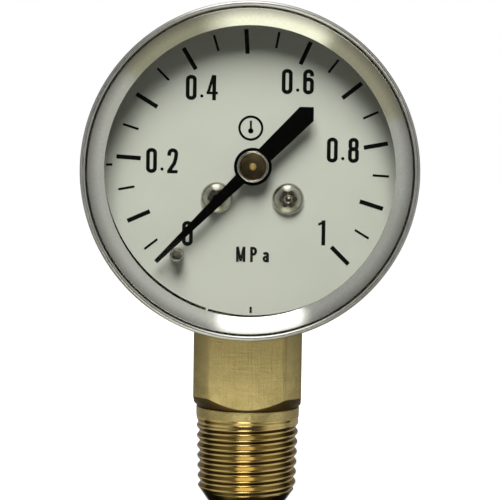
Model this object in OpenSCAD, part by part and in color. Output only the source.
// Bourdon tube pressure gauge, 0 to 1 MPa, with a lower taper thread connection.
// Millimetres. The origin is the centre of the stem's lower end face, +Z runs up the stem,
// and the dial faces -Y. "front" heights in this file are counted along -Y from the stem axis.

/* [Case] */
// Diameter over the rolled rim at the mouth of the case
rim_d = 42.3; // [42.1:0.1:44]
// Depth of the case from its rim to its back
case_depth = 24; // [24:0.5:30]
// Thickness of the case's sheet metal
case_wall = 0.55; // [0.45:0.05:0.6]
// Thickness of the rolled rim
rim_bead = 0.7; // [0.6:0.05:0.8]
// How far the rim stands in front of the stem axis
rim_front = 12.5; // [12.5:0.1:13]
// Height of the case's centre above the end of the stem
case_z = 44.1; // [44:0.1:44.6]
// How far the case's centre sits to the side of the stem axis
case_x = -0.15; // [-0.2:0.05:0.1]
// Radius of the bend between the case's side and its back
back_bend_r = 2.5; // [1.5:0.1:3]

/* [Window] */
// Inside diameter of the bezel ring
window_d = 36.4; // [35.5:0.1:36.8]
// How far the bezel ring's face slopes back from its outer to its inner edge
bezel_slope = 1.1; // [0.8:0.1:1.2]
// Thickness of the lens
lens_t = 1.2; // [1:0.1:1.2]

/* [Dial] */
// Diameter of the dial plate
dial_d = 38; // [36:0.1:38]
// Height of the dial's front face in front of the stem axis
dial_front = 6.8; // [6.7:0.05:6.9]
// How far the movement's centre sits to the side of the stem axis
dial_x = 0.2; // [0:0.05:0.3]
// Height of the movement's centre above the end of the stem
dial_z = 44.75; // [44.6:0.05:44.9]
// Sideways distance from the pointer's axis to each dial screw
screw_dx = 4.55; // [4.2:0.05:4.8]
// Drop from the pointer's axis to the dial screws
screw_dz = 4.05; // [3.8:0.05:4.2]

/* [Pointer] */
// Direction of the pointer at rest, in degrees anticlockwise from +X
zero_angle = 225.2; // [222:0.1:228]
// Turn of the pointer from rest to full scale, in degrees
sweep = 271; // [260:1:275]
// Length of the needle from the pointer's axis
needle_l = 17.2; // [15.5:0.1:17.4]
// Length of the pointer's tail from its axis
tail_l = 10.74; // [8:0.01:12]

/* [Stem] */
// Width of the wrench square across its flats
wrench_af = 14; // [13.8:0.1:14.2]
// Major diameter of the taper thread at its gauge plane
thread_d = 13.157; // [13:0.001:13.3]
// Pitch of the thread
thread_pitch = 1.337; // [1.3:0.001:1.36]
// Depth of the thread
thread_depth = 0.856; // [0.7:0.001:0.9]
// Diameter of the pressure inlet
inlet_d = 4; // [3.8:0.1:4.4]

/* [Movement] */
// Teeth on the pinion
pinion_teeth = 10; // [10:1:10]
// Turn of the pointer for one turn of the sector
gear_ratio = 8; // [8:1:8]
// Module of the gear teeth
gear_module = 0.2; // [0.19:0.005:0.205]
// Distance from the sector's pivot to the pin in its tail
sector_tail = 4.3; // [4:0.1:4.5]
// Length of the link between its two eyes
link_l = 6.5; // [6.3:0.1:6.8]
// Turns in the hairspring
hairspring_turns = 4.5; // [3:0.5:5]

/* [Bourdon tube] */
// Radius of the tube's centre line
tube_r = 14; // [13.9:0.1:14.2]
// Width of the tube's section across the bend
tube_w = 7.5; // [6.5:0.1:7.6]
// Thickness of the tube's section in the bend
tube_t = 2.6; // [2.2:0.1:2.8]
// Thickness of the tube's wall
tube_wall = 0.35; // [0.25:0.05:0.4]

/* [Hidden] */
$fn = 96;

// Clearance of a part that turns on a shaft, and of a part that is only placed
run_gap = 0.04;
part_gap = 0.1;

// Case and window
rim_r = rim_d / 2;
mouth_r = rim_r - rim_bead;
rim_side_r = mouth_r + case_wall;
seat_step = 0.6;
body_r = rim_side_r - seat_step;
case_back = rim_front - case_depth;
bezel_front = rim_front - 0.2;
bezel_r = mouth_r - 0.2;
lens_front = bezel_front - bezel_slope - 0.3;
gasket_t = 0.6;
lens_back = lens_front - lens_t;
seat_front = lens_back - gasket_t;

// Dial and pointer
dial_t = 0.5;
dial_back = dial_front - dial_t;
nib_angle = 253;
pointer_back = dial_front + 1.8;
pointer_t = 0.3;
hub_front = pointer_back + 0.7;
hub_r = 2;
pointer_ring_r = 2.39;
stop_pin_r = 0.88;
stop_pin_at = 14.75;
stop_gap = 0.02;
// At zero the edge of the needle lies a stop gap away from the pin
stop_pin_angle = zero_angle + asin((stop_pin_r + stop_gap + needle_half_w(stop_pin_at)) / stop_pin_at);
dial_screw_r = 0.97;

// Movement, from front to back
plate_t = 1;
front_plate_back = dial_back - plate_t;
hairspring_front = front_plate_back - 0.6;
hairspring_w = 0.6;
pinion_front = 3.6;
pinion_back = 2;
sector_front = 3.2;
sector_t = 0.8;
sector_back = sector_front - sector_t;
link_front = sector_back - 0.15;
link_t = 0.5;
link_back = link_front - link_t;
back_plate_front = 1.3;
back_plate_back = back_plate_front - plate_t;
shaft_r = 0.5;
pivot_r = 0.35;
pin_r = 0.4;
pillar_r = 1;
rivet_r = 0.6;

// Gears: the sector is part of a wheel with gear_ratio times the pinion's teeth
pressure_angle = 20;
backlash = 0.05;
pinion_r = gear_module * pinion_teeth / 2;
sector_r = pinion_r * gear_ratio;
sector_teeth = pinion_teeth * gear_ratio;
sector_bearing = -60;
swing = sweep / gear_ratio;

// Linkage in the plane of the dial: the pressure turns the tip anticlockwise about a
// virtual centre, tip_arm away, and pulls the link along link_angle
link_angle = 59.5;
tip_arm = 16;
pinion_at = [dial_x, dial_z];
sector_at = pinion_at + (pinion_r + sector_r) * dir(sector_bearing);
tail_mid_angle = link_angle - 90;
pin_mid = sector_at + sector_tail * dir(tail_mid_angle);
tip_pin_mid = pin_mid + link_l * dir(link_angle);
tip_centre = tip_pin_mid - tip_arm * dir(tail_mid_angle);
tip_swing = 2 * asin(sector_tail * sin(swing / 2) / tip_arm);
tail_angle = tail_mid_angle - swing / 2;
tip_pin_at = tip_centre + tip_arm * dir(tail_mid_angle - tip_swing / 2);
link_pin_at = tip_pin_at - link_l * dir(link_angle);

// Pillars, screws and the hairspring's stud, relative to the pinion
pillar_places = [[-7.2, -6.2], [8.7, -2.2], [-3.2, 5.8]];
movement_screw_places = [[-3.2, 35.4], [1.9, 35.4]];
hairspring_r = 4.3;
hairspring_t = 0.14;
collet_r = 1.2;
stud_angle = 150;
stud_r = 0.6;

// Bourdon tube: its root lies in the socket, its free end at tube_end
tube_front = 1.5;
tube_root = -92;
tube_end = -372;
tube_mid_front = tube_front - tube_w / 2;
tip_block_arc = 9;
tip_fit = 0.03;

// Stem and socket: the thread is drawn as rings, all of its gauge diameter, without its taper
thread_r = thread_d / 2;
thread_start = 2.83;
thread_count = 7;
crest_h = 0.11;
chamfer_r = 4.67;
chamfer_slope = 0.7;
collar_start = 11.73;
collar_end = 13.2;
collar_r = 6.8;
undercut_r = 6.6;
undercut_top = 14.95;
corner_d = 17.22;
wrench_turn = -1.2;
neck_top = 27;
// The neck is cut back above this height so that it clears the back and the edge of the dial
relief_back_gap = 0.3;
relief_edge_gap = 0.5;
relief_front = dial_back - relief_back_gap;
relief_z = dial_z - dial_d / 2 - relief_edge_gap;
block_left = -7;
block_right = 5;
block_top = 33.5;
block_front = 2.3;
inlet_depth = 9;
seat_depth = 13;
restrictor_r = 1.7;
passage_r = 0.9;
passage_top = case_z - tube_r;
case_screw_places = [[-3.2, 31], [2.6, 31]];
case_screw_r = 1.47;
case_screw_l = 4;

// A unit vector at an angle in the plane of the dial
function dir(a) = [cos(a), sin(a)];

// Half the needle's width at a distance from the pointer's axis
function needle_half_w(r) = 0.85 - 0.58 * r / needle_l;

// Angle between a tooth's flank and the start of its involute, at a radius
function flank_turn(r, base_r) =
    let (a = acos(min(1, base_r / r)))
    tan(a) * 180 / PI - a;

// ---- Building blocks. Their 2D shapes are drawn in X and Z ----

// A flat slab of a 2D shape between two front heights
module slab(back, front) {
    translate([0, -back, 0])
        rotate([90, 0, 0])
            linear_extrude(front - back)
                children();
}

// A body turned from a profile of [radius, front] about an axis along Y
module turned(at) {
    translate([at[0], 0, at[1]])
        rotate([90, 0, 0])
            rotate_extrude()
                children();
}

// A straight round rod along Y between two front heights
module rod(at, r, back, front) {
    slab(back, front)
        translate(at)
            circle(r);
}

// A bar of a given half width between two points, with round ends
module bar(a, b, half_w) {
    run = b - a;
    translate(a)
        circle(half_w);
    translate(b)
        circle(half_w);
    translate(a)
        rotate(atan2(run[1], run[0]))
            translate([0, -half_w])
                square([norm(run), 2 * half_w]);
}

// A convex plate outline, standing a margin outside its corner points
module rounded_outline(points, margin) {
    polygon(points);
    for (i = [0 : len(points) - 1])
        bar(points[i], points[(i + 1) % len(points)], margin);
}

// A screw along Y: dished pan head in front of its seat, shank behind it
module pan_screw(at, head_r, head_h, shank_r, shank_l, seat) {
    edge_h = head_h * 0.3;
    steps = 6;
    turned(at)
        polygon(concat(
            [[0, seat - shank_l], [shank_r, seat - shank_l], [shank_r, seat], [head_r, seat]],
            [for (i = [0 : steps])
                let (a = 75 * i / steps)
                [head_r * 0.45 + head_r * 0.55 * cos(a), seat + edge_h + (head_h - edge_h) * sin(a) / sin(75)]],
            [[0, seat + head_h]]));
}

// One gear tooth centred on an angle, with involute flanks
module tooth(at_angle, pitch_r, root_r, tip_r) {
    base_r = pitch_r * cos(pressure_angle);
    pitch_half = (PI * gear_module / 2 - backlash) / 2 / pitch_r * 180 / PI;
    steps = 4;
    radii = [for (i = [0 : steps]) root_r + (tip_r - root_r) * i / steps];
    halves = [for (r = radii) pitch_half + flank_turn(pitch_r, base_r) - flank_turn(r, base_r)];
    inner = root_r - gear_module / 2;
    polygon(concat(
        [inner * dir(at_angle - halves[0])],
        [for (i = [0 : steps]) radii[i] * dir(at_angle - halves[i])],
        [for (i = [steps : -1 : 0]) radii[i] * dir(at_angle + halves[i])],
        [inner * dir(at_angle + halves[0])]));
}

// ---- Case and window ----

// Section of the drawn case: flat back, rounded corner, side, seat step and rolled rim
module case_section() {
    bead = rim_bead / 2;
    bead_start = -acos(min(1, (rim_side_r - rim_r + bead) / bead));
    steps = 8;
    bend = [body_r - back_bend_r, case_back + back_bend_r];
    rim = [rim_r - bead, rim_front - bead];
    inner_bend = back_bend_r - case_wall;
    polygon(concat(
        [[0, case_back]],
        [for (i = [0 : steps]) bend + back_bend_r * dir(-90 + 90 * i / steps)],
        [[body_r, seat_front - case_wall - 0.3], [rim_side_r, seat_front - case_wall + 0.3]],
        [for (i = [0 : steps]) rim + bead * dir(bead_start + (180 - bead_start) * i / steps)],
        [[mouth_r, seat_front], [body_r - case_wall, seat_front]],
        [for (i = [0 : steps]) bend + inner_bend * dir(-90 * i / steps)],
        [[0, case_back + case_wall]]));
}

module case() {
    neck_gap = 0.15;
    color("silver")
        difference() {
            turned([case_x, case_z])
                case_section();
            translate([0, 0, case_z - rim_r])
                linear_extrude(rim_r / 2)
                    intersection() {
                        rotate(wrench_turn)
                            square(wrench_af + 2 * neck_gap, center = true);
                        circle(corner_d / 2 + neck_gap);
                    }
            for (at = case_screw_places)
                rod(at, case_screw_r + neck_gap, case_back - 1, case_back + case_wall + 1);
        }
}

module bezel_ring() {
    inner_r = window_d / 2;
    land = 0.1;
    skirt_r = mouth_r - 0.03;
    color("gainsboro")
        turned([case_x, case_z])
            polygon([
                [inner_r, lens_front],
                [skirt_r, lens_front],
                [skirt_r, lens_front + 0.7],
                [bezel_r, lens_front + 0.9],
                [bezel_r, bezel_front - land],
                [bezel_r - land, bezel_front],
                [inner_r, bezel_front - bezel_slope],
            ]);
}

module lens() {
    color([0.85, 0.9, 0.92, 0.35])
        rod([case_x, case_z], mouth_r - part_gap, lens_back, lens_front);
}

module lens_gasket() {
    color("dimgray")
        slab(seat_front, lens_back)
            translate([case_x, case_z])
                difference() {
                    circle(mouth_r - part_gap / 2);
                    circle(window_d / 2 + 0.5);
                }
}

module case_screws() {
    head_h = 1.6;
    color("silver")
        for (at = case_screw_places)
            difference() {
                mirror([0, 1, 0])
                    pan_screw(at, 2.6, head_h, case_screw_r, case_screw_l, -case_back);
                // Cross recess
                slab(case_back - head_h - 1, case_back - head_h + 1)
                    translate(at) {
                        square([2.6, 0.55], center = true);
                        square([0.55, 2.6], center = true);
                    }
            }
}

// ---- Dial and pointer ----

// Round plate with a small nib on its edge, left where it was cut from its strip
module dial() {
    nib_w = 0.3;
    nib_l = 0.35;
    color("ivory")
        slab(dial_back, dial_front)
            difference() {
                translate(pinion_at) {
                    circle(dial_d / 2);
                    rotate(nib_angle)
                        translate([dial_d / 2 - nib_l, -nib_w / 2])
                            square([2 * nib_l, nib_w]);
                }
                translate(pinion_at)
                    circle(1.6);
                for (side = [-1, 1])
                    translate(pinion_at + [side * screw_dx, -screw_dz])
                        circle(dial_screw_r + part_gap);
                translate(pinion_at + stop_pin_at * dir(stop_pin_angle))
                    circle(stop_pin_r);
            }
}

// Six-lobed socket drawn about the origin
module lobed_socket(r) {
    circle(r * 0.78);
    for (a = [0 : 60 : 300])
        rotate(a)
            translate([r * 0.74, 0])
                circle(r * 0.26);
}

module dial_screws() {
    head_r = 2.03;
    head_h = 1.3;
    color("silver")
        for (side = [-1, 1]) {
            at = pinion_at + [side * screw_dx, -screw_dz];
            difference() {
                pan_screw(at, head_r, head_h, dial_screw_r, dial_t + plate_t, dial_front);
                slab(dial_front + head_h - 0.75, dial_front + head_h + 1)
                    translate(at)
                        lobed_socket(0.95);
            }
        }
}

module stop_pin() {
    top = hub_front + 0.1;
    edge = 0.22;
    color("silver")
        turned(pinion_at + stop_pin_at * dir(stop_pin_angle))
            polygon([
                [0, dial_back],
                [stop_pin_r, dial_back],
                [stop_pin_r, top - edge],
                [stop_pin_r - edge, top],
                [0, top],
            ]);
}

// Needle, ring and tail, pointing along zero_angle
module pointer() {
    needle_tip = needle_half_w(needle_l);
    needle_root = needle_half_w(0);
    tail_root = 1.03;
    tail_end = 1.25;
    color("black")
        slab(pointer_back, pointer_back + pointer_t)
            translate(pinion_at)
                rotate(zero_angle)
                    difference() {
                        union() {
                            circle(pointer_ring_r);
                            polygon([
                                [0, -needle_root],
                                [needle_l, -needle_tip],
                                [needle_l, needle_tip],
                                [0, needle_root],
                            ]);
                            polygon([
                                [0, tail_root],
                                [-tail_l + tail_end, tail_end],
                                [-tail_l, 0],
                                [-tail_l + tail_end, -tail_end],
                                [0, -tail_root],
                            ]);
                        }
                        circle(1.3);
                    }
}

module pointer_hub() {
    rim = 0.26;
    floor_front = pointer_back + pointer_t + 0.05;
    color("lightgray")
        turned(pinion_at)
            polygon([
                [shaft_r - 0.05, dial_front + 0.6],
                [1.3, dial_front + 0.6],
                [1.3, pointer_back + pointer_t],
                [hub_r, pointer_back + pointer_t],
                [hub_r, hub_front],
                [hub_r - rim, hub_front],
                [hub_r - rim - 0.1, floor_front],
                [shaft_r - 0.05, floor_front],
            ]);
}

// ---- Movement ----

// Pinion with its shaft, turned and cut in one piece
module pinion_shaft() {
    root_r = pinion_r - gear_module * 1.2;
    tip_r = pinion_r + gear_module;
    tip_front = hub_front - 0.05;
    color("goldenrod") {
        turned(pinion_at)
            polygon([
                [0, back_plate_back],
                [pivot_r, back_plate_back],
                [pivot_r, back_plate_front + part_gap],
                [shaft_r, back_plate_front + part_gap],
                [shaft_r, dial_front + 0.6],
                [shaft_r - 0.05, dial_front + 0.6],
                [shaft_r - 0.05, tip_front - 0.2],
                [shaft_r - 0.25, tip_front],
                [0, tip_front],
            ]);
        slab(pinion_back, pinion_front)
            translate(pinion_at) {
                circle(root_r);
                for (i = [0 : pinion_teeth - 1])
                    tooth(sector_bearing + i * 360 / pinion_teeth, pinion_r, root_r, tip_r);
            }
    }
}

// Fan shaped gear segment with its slotted tail
module sector_gear() {
    root_r = sector_r - gear_module * 1.25;
    tip_r = sector_r + gear_module * 0.8;
    rim_w = 1.2;
    tooth_step = 360 / sector_teeth;
    mesh_angle = sector_bearing + 180;
    // Teeth from one beyond the mesh at rest to one beyond it at full scale
    first = -ceil(swing / tooth_step) - 1;
    last = 1;
    from_angle = mesh_angle + (first + 0.1) * tooth_step;
    to_angle = mesh_angle + (last + 0.9) * tooth_step;
    hub = 1.5;
    color("goldenrod")
        slab(sector_back, sector_front)
            translate(sector_at)
                difference() {
                    union() {
                        circle(hub);
                        intersection() {
                            difference() {
                                circle(root_r);
                                circle(root_r - rim_w);
                            }
                            polygon([[0, 0], 12 * dir(from_angle), 14 * dir((from_angle + to_angle) / 2),
                                12 * dir(to_angle)]);
                        }
                        for (a = [from_angle + 7, to_angle - 7])
                            bar([0, 0], (root_r - rim_w / 2) * dir(a), 0.6);
                        for (i = [first : last])
                            tooth(mesh_angle + (i + 0.5) * tooth_step, sector_r, root_r, tip_r);
                        bar([0, 0], sector_tail * dir(tail_angle), 1.1);
                    }
                    circle(shaft_r);
                    bar((sector_tail - 0.25) * dir(tail_angle), (sector_tail + 0.35) * dir(tail_angle),
                        pin_r + run_gap);
                }
}

module sector_shaft() {
    color("darkgray")
        turned(sector_at)
            polygon([
                [0, back_plate_back],
                [pivot_r, back_plate_back],
                [pivot_r, back_plate_front + part_gap],
                [shaft_r, back_plate_front + part_gap],
                [shaft_r, front_plate_back - part_gap],
                [pivot_r, front_plate_back - part_gap],
                [pivot_r, dial_back - part_gap],
                [0, dial_back - part_gap],
            ]);
}

// Corner points shared by the two movement plates
function plate_corners() = [for (at = pillar_places) pinion_at + at];

module front_plate() {
    corners = plate_corners();
    color("khaki")
        slab(front_plate_back, dial_back)
            difference() {
                rounded_outline([corners[0], sector_at, corners[1], corners[2]], 1.7);
                translate(pinion_at)
                    circle(shaft_r + run_gap);
                translate(sector_at)
                    circle(pivot_r + run_gap);
                for (at = corners)
                    translate(at)
                        circle(rivet_r);
                for (side = [-1, 1])
                    translate(pinion_at + [side * screw_dx, -screw_dz])
                        circle(dial_screw_r + 0.02);
                translate(pinion_at + hairspring_r * dir(stud_angle))
                    circle(stud_r - 0.2);
            }
}

module back_plate() {
    corners = plate_corners();
    color("khaki")
        slab(back_plate_back, back_plate_front)
            difference() {
                rounded_outline([movement_screw_places[0], movement_screw_places[1], sector_at,
                    corners[1], corners[2], corners[0]], 1.7);
                translate(pinion_at)
                    circle(pivot_r + run_gap);
                translate(sector_at)
                    circle(pivot_r + run_gap);
                for (at = corners)
                    translate(at)
                        circle(rivet_r);
                for (at = movement_screw_places)
                    translate(at)
                        circle(0.85);
            }
}

module pillars() {
    color("gold")
        for (at = plate_corners()) {
            rod(at, pillar_r, back_plate_front, front_plate_back);
            rod(at, rivet_r, back_plate_back, dial_back);
        }
}

module movement_screws() {
    head_h = 0.6;
    shank_r = 0.75;
    color("silver")
        for (at = movement_screw_places)
            difference() {
                pan_screw(at, 1.4, head_h, shank_r, plate_t + 2.4, back_plate_front);
                slab(back_plate_front + 0.3, back_plate_front + 1)
                    translate(at)
                        square([4, 0.35], center = true);
            }
}

// Flat spiral spring: two edges of a spiral strip, computed turn by turn
module hairspring() {
    start_r = collet_r + 0.03 + hairspring_t / 2;
    steps = hairspring_turns * 20;
    end_angle = stud_angle;
    function spiral(i, side) =
        let (r = start_r + (hairspring_r - start_r) * i / steps)
        (r + side * hairspring_t / 2) * dir(end_angle - 360 * hairspring_turns * (1 - i / steps));
    color("peru")
        slab(hairspring_front - hairspring_w, hairspring_front)
            translate(pinion_at)
                polygon(concat(
                    [for (i = [0 : steps]) spiral(i, -1)],
                    [for (i = [steps : -1 : 0]) spiral(i, 1)]));
}

module hairspring_collet() {
    front = hairspring_front + 0.2;
    color("gold")
        slab(front - 1, front)
            translate(pinion_at)
                difference() {
                    circle(collet_r);
                    circle(shaft_r);
                }
}

// Post that holds the spring's outer end in a slot
module hairspring_stud() {
    at = pinion_at + hairspring_r * dir(stud_angle);
    low = hairspring_front - hairspring_w - 0.2;
    color("gold")
        difference() {
            union() {
                rod(at, stud_r, low, front_plate_back);
                rod(at, stud_r - 0.2, low, dial_back);
            }
            slab(low - 1, hairspring_front + 0.05)
                translate(at)
                    rotate(stud_angle)
                        square([hairspring_t + 0.1, 4 * stud_r], center = true);
        }
}

// ---- Bourdon tube and linkage ----

// Stadium section of the tube at its centre line radius, grown or shrunk by an amount
module tube_section(grow) {
    r = tube_t / 2 + grow;
    flat = tube_w - tube_t;
    for (side = [-1, 1])
        translate([tube_r, tube_mid_front + side * flat / 2])
            circle(r);
    translate([tube_r - r, tube_mid_front - flat / 2])
        square([2 * r, flat]);
}

// Sweep of a tube section about the case's centre, clockwise from one angle to another
module tube_sweep(from_angle, to_angle) {
    translate([case_x, 0, case_z])
        rotate([90, 0, 0])
            rotate([0, 0, to_angle])
                rotate_extrude(angle = from_angle - to_angle)
                    children();
}

module bourdon_tube() {
    color("darkgoldenrod")
        tube_sweep(tube_root, tube_end)
            difference() {
                tube_section(0);
                tube_section(-tube_wall);
            }
}

// Closes the tube's free end and carries the link's screw
module tube_tip() {
    lug_front = link_back - part_gap;
    lug_back = lug_front - 0.9;
    lug_root = [case_x, case_z] + tube_r * dir(tube_end - tip_block_arc * 0.6);
    color("goldenrod")
        difference() {
            union() {
                tube_sweep(tube_end, tube_end - tip_block_arc)
                    tube_section(0);
                tube_sweep(tube_end + tip_block_arc / 2, tube_end)
                    tube_section(-tube_wall - tip_fit);
                slab(lug_back, lug_front)
                    bar(lug_root, tip_pin_at, 1.1);
            }
            rod(tip_pin_at, pin_r, lug_back - 1, lug_front + 1);
        }
}

module tip_screw() {
    head_front = link_front + part_gap;
    color("silver") {
        rod(tip_pin_at, pin_r, link_back - 1, head_front);
        rod(tip_pin_at, 0.8, head_front, head_front + 0.4);
    }
}

module link() {
    color("gold")
        slab(link_back, link_front)
            difference() {
                union() {
                    for (at = [link_pin_at, tip_pin_at])
                        translate(at)
                            circle(1);
                    bar(link_pin_at, tip_pin_at, 0.6);
                }
                translate(link_pin_at)
                    circle(pin_r);
                translate(tip_pin_at)
                    circle(pin_r + run_gap);
            }
}

// Shouldered pin of the link, sliding in the slot of the sector's tail
module link_pin() {
    head_back = sector_front + part_gap;
    color("silver") {
        rod(link_pin_at, pin_r, link_back, head_back);
        rod(link_pin_at, 0.75, head_back, head_back + 0.3);
    }
}

// ---- Socket ----

// Half section of the stem: chamfered end, thread rings and plain collar
module stem_section() {
    root_r = thread_r - thread_depth;
    first_root = thread_start - thread_pitch / 2;
    chamfer_top = first_root - 0.3;
    polygon(concat(
        [[0, 0], [chamfer_r, 0], [chamfer_r + chamfer_slope * chamfer_top, chamfer_top], [root_r, first_root]],
        [for (i = [0 : thread_count - 1])
            let (z = thread_start + i * thread_pitch)
            each [
                [thread_r, z - crest_h],
                [thread_r, z + crest_h],
                [root_r, z + thread_pitch / 2],
            ]],
        [[collar_r, collar_start], [collar_r, collar_end], [0, collar_end]]));
}

// Rounded wrench square with a conical undercut below it, cut back behind the dial at the top
module wrench_body() {
    // Sunk into the collar so that the two are one body
    start = collar_end - 0.5;
    intersection() {
        difference() {
            rotate(wrench_turn)
                translate([-wrench_af / 2, -wrench_af / 2, start])
                    cube([wrench_af, wrench_af, neck_top - start]);
            translate([-wrench_af, -wrench_af - relief_front, relief_z])
                cube([2 * wrench_af, wrench_af, neck_top]);
        }
        rotate_extrude()
            polygon([
                [0, start],
                [undercut_r, start],
                [undercut_r, collar_end],
                [corner_d / 2, undercut_top],
                [corner_d / 2, neck_top],
                [0, neck_top],
            ]);
    }
}

// Block inside the case that holds the tube's root, the movement and the case screws
module socket_block() {
    tongue_left = -5;
    tongue_right = 3.4;
    tongue_top = 37.5;
    tongue_t = 3;
    boss_back = case_back + case_wall;
    boss_left = -5.9;
    boss_low = 28.2;
    translate([block_left, -block_front, neck_top])
        cube([block_right - block_left, block_front + wrench_af / 2, block_top - neck_top]);
    translate([tongue_left, -back_plate_back, block_top - 1])
        cube([tongue_right - tongue_left, tongue_t, tongue_top - block_top + 1]);
    translate([boss_left, 0, boss_low])
        cube([block_right - boss_left, -boss_back, block_top - boss_low]);
}

module socket() {
    thread_clear = 0.03;
    color("darkkhaki")
        difference() {
            union() {
                rotate_extrude()
                    stem_section();
                wrench_body();
                socket_block();
            }
            // Pressure inlet, seat of the restrictor, and passage to the tube
            translate([0, 0, -1])
                cylinder(r = inlet_d / 2, h = inlet_depth + 1);
            cylinder(r = restrictor_r + thread_clear, h = seat_depth);
            cylinder(r = passage_r, h = passage_top);
            // Slot for the tube's root, with a small chamber at its closed end
            tube_sweep(tube_root + 8, tube_root - 40)
                tube_section(tip_fit);
            for (at = case_screw_places)
                rod(at, case_screw_r + thread_clear, case_back, case_back + case_screw_l + 0.5);
            for (at = movement_screw_places)
                rod(at, 0.75 + thread_clear, back_plate_back - 2.6, back_plate_back + 1);
        }
}

// Screwed plug with a fine orifice that damps pressure shocks
module inlet_restrictor() {
    length = 3.4;
    slot_depth = 0.8;
    start = inlet_depth + 0.3;
    color("goldenrod")
        translate([0, 0, start])
            difference() {
                cylinder(r = restrictor_r, h = length);
                translate([0, 0, -1])
                    cylinder(r = 0.25, h = length + 2);
                translate([-3, -0.3, -1])
                    cube([6, 0.6, slot_depth + 1]);
            }
}

case();
bezel_ring();
lens();
lens_gasket();
dial();
dial_screws();
stop_pin();
pointer();
pointer_hub();
pinion_shaft();
hairspring();
hairspring_collet();
hairspring_stud();
front_plate();
back_plate();
pillars();
movement_screws();
sector_gear();
sector_shaft();
link();
link_pin();
tube_tip();
tip_screw();
bourdon_tube();
socket();
inlet_restrictor();
case_screws();
